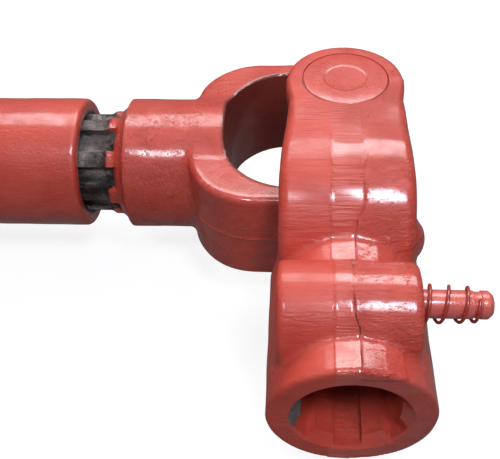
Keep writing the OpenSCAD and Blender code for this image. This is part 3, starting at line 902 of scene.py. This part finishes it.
hub_mesh = forging("hub_yoke", hub_field, (ticks(-112.3, (22.5, FINE)), WIDE, FLAT), CROTCH)
shaft_mesh = forging(
    "shaft_yoke", shaft_field,
    (ticks(-239.5, (-236, 0.6), (-100, 4.0), (-78, 0.6), (22.5, FINE)), WIDE, FLAT),
)
sleeve_mesh = forging(
    "sleeve_yoke", sleeve_field,
    (ticks(-233.6, (-228, 0.5), (-76, 4.0), (22.5, FINE)), WIDE, FLAT),
)
CROSS_WIDE = ticks(-39, (39, 0.7))
cross_mesh = forging("cross", cross_field, (ticks(-15, (15, 0.7)), CROSS_WIDE, CROSS_WIDE))

BRUSHED = (1, 1, 7)
hub_paint = enamel("hub_enamel", brush=BRUSHED, strip=True, bare=bare_socket, wrinkle=0.5)
shaft_paint = enamel("shaft_enamel", brush=(3, 1, 1), bare=bare_spline, wrinkle=0.42, worn_from=48)
sleeve_paint = enamel("sleeve_enamel", brush=(3, 1, 1), bare=bare_bore, rough=1.1, wrinkle=0.08)
cup_paint = enamel("cup_enamel", wrinkle=0.10)
# the pin is a paler copy of the enamel: painted sheen
pin_paint = enamel("pin_enamel", rough=0.85, wrinkle=0.05, painted_light_tint=(PIN_SHEEN_PINK, 0.55))
# the spring's wire is a darker copy of the enamel: painted shade
wire_paint = enamel("wire_enamel", rough=0.8, wrinkle=0.05, painted_light_tint=(RED_SHADE, 0.6))
cross_steel = steel("bearing_steel", (0.20, 0.20, 0.20, 1), (0.38, 0.37, 0.36, 1), 8, 0.3, spray=1.0)
clip_steel = steel("clip_steel", (0.10, 0.10, 0.10, 1), (0.22, 0.21, 0.20, 1), 5, 0.35, spray=0.8)
roller_steel = steel("roller_steel", (0.55, 0.55, 0.55, 1), (0.68, 0.67, 0.66, 1), 3, 0.16)
nipple_zinc = steel("nipple_zinc", (0.55, 0.50, 0.34, 1), (0.70, 0.66, 0.50, 1), 2, 0.25)
seal_rubber = rubber()

put("shaft_yoke", shaft_mesh, SHAFT, shaft_paint)
put("sleeve_yoke", sleeve_mesh, SLEEVE, sleeve_paint)

cup, seal, needles, clip = cup_mesh(), seal_mesh(), needles_mesh(), clip_mesh()
pin, plug, nipple = pin_mesh(), plug_mesh(), nipple_mesh()
at_pin = Matrix.Translation(Vector((-PIN_X, PIN_Y, 0)) * MM)
along_pin = at_pin @ Matrix.Rotation(math.radians(90), 4, "X")
at_plug = along_pin @ Matrix.Translation(Vector((0, -BOSS_BACK * MM, 0)))
nipple_place = Matrix.Rotation(math.radians(-90), 4, "Z")

for end in ("tractor", "implement"):
    hub, cross = HUBS[end], CROSSES[end]
    put(end + "_hub_yoke", hub_mesh, hub, hub_paint)
    put(end + "_lock_pin", pin, hub @ along_pin, pin_paint)
    put(end + "_pin_plug", plug, hub @ at_plug, cup_paint)
    spring = put(end + "_pin_spring", spring_mesh(), hub @ at_pin, wire_paint)
    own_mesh(spring)
    put(end + "_cross", cross_mesh, cross, cross_steel)
    put(end + "_grease_nipple", nipple, cross @ nipple_place, nipple_zinc)
    for side, turn in SIDES.items():
        put(f"{end}_cup_{side}", cup, cross @ turn, cup_paint)
        put(f"{end}_seal_{side}", seal, cross @ turn, seal_rubber)
        put(f"{end}_needles_{side}", needles, cross @ turn, roller_steel)
        put(f"{end}_clip_{side}", clip, cross @ turn, clip_steel)

# ---------------------------------------------------------------- floor, light and camera
scene = bpy.context.scene
UNDERSIDE = cad_box[0][2]


def floor():
    mesh = bpy.data.meshes.new("floor")
    reach = 6.0
    corners = [(-reach, -reach), (reach, -reach), (reach, reach), (-reach, reach)]
    mesh.from_pydata([(x, y, UNDERSIDE - 0.0002) for x, y in corners], [], [(0, 1, 2, 3)])
    mesh.materials.append(floor_paper())
    made = bpy.data.objects.new("floor", mesh)
    scene.collection.objects.link(made)
    made.visible_diffuse = made.visible_glossy = False


def backdrop():
    """Pale wall far behind everything, seen only by the camera, so that no view ends in a horizon."""
    mesh = bpy.data.meshes.new("backdrop")
    reach, height, sides = 5.9, 7.0, 48
    angles = [2 * math.pi * k / sides for k in range(sides)]
    levels = (UNDERSIDE - 0.01, height)
    points = [(reach * math.cos(a), reach * math.sin(a), z) for z in levels for a in angles]
    faces = [(k, (k + 1) % sides, (k + 1) % sides + sides, k + sides) for k in range(sides)]
    mesh.from_pydata(points, [], faces)
    mesh.materials.append(bpy.data.materials["floor_paper"])
    made = bpy.data.objects.new("backdrop", mesh)
    scene.collection.objects.link(made)
    made.visible_diffuse = made.visible_glossy = made.visible_shadow = False


def softbox(name, aim, azimuth, elevation, distance, size, power, colour):
    """Area light at an angle from its aim. Azimuth 0 is on the -Y side, towards +X as it grows."""
    data = bpy.data.lights.new(name, "AREA")
    data.shape = "RECTANGLE"
    data.size, data.size_y = size
    data.energy, data.color = power, colour
    a, e = math.radians(azimuth), math.radians(elevation)
    away = Vector((math.sin(a) * math.cos(e), -math.cos(a) * math.cos(e), math.sin(e)))
    made = bpy.data.objects.new(name, data)
    scene.collection.objects.link(made)
    made.location = aim + away * distance
    made.rotation_euler = away.to_track_quat("Z", "Y").to_euler()


def world():
    made = bpy.data.worlds.new("studio")
    made.use_nodes = True
    back = made.node_tree.nodes["Background"]
    back.inputs["Color"].default_value = (1.0, 1.0, 1.0, 1)
    back.inputs["Strength"].default_value = 0.16
    scene.world = made


def camera():
    """Above and in front of the first joint, looking down along the hub and a little to the left."""
    pitch, yaw, roll = 0.813, 0.077, -0.040
    picture_widths = 1.48412
    base = np.array([[1, 0, 0], [0, 0, -1], [0, 1, 0]], float)
    cp, sp = math.cos(pitch), math.sin(pitch)
    cy, sy = math.cos(yaw), math.sin(yaw)
    cr, sr = math.cos(roll), math.sin(roll)
    about_x = np.array([[1, 0, 0], [0, cp, -sp], [0, sp, cp]])
    about_y = np.array([[cy, 0, sy], [0, 1, 0], [-sy, 0, cy]])
    about_z = np.array([[cr, -sr, 0], [sr, cr, 0], [0, 0, 1]])
    right, down, ahead = about_z @ about_x @ about_y @ base
    data = bpy.data.cameras.new("camera")
    data.sensor_width = 36.0
    data.lens = picture_widths * data.sensor_width
    data.clip_start, data.clip_end = 0.01, 30
    made = bpy.data.objects.new("camera", data)
    scene.collection.objects.link(made)
    place = Matrix((right, -down, -ahead)).transposed().to_4x4()
    place.translation = JOINT_1 + Vector((-18.861, -219.387, 194.848)) * MM
    made.matrix_world = place
    scene.camera = made


floor()
backdrop()
world()
AIM = JOINT_1 + Vector((-0.04, -0.04, 0))
softbox("key_behind", AIM, 178, 56, 0.75, (0.8, 0.32), 5.1, (1.0, 0.985, 1.0))
softbox("key_left", AIM, -20, 60, 0.75, (0.16, 0.10), 1.45, (0.86, 0.92, 1.0))
softbox("key_right", AIM, 29, 62, 0.75, (0.13, 0.18), 2.5, (0.82, 0.88, 1.0))
camera()
scene.view_settings.view_transform = "Standard"
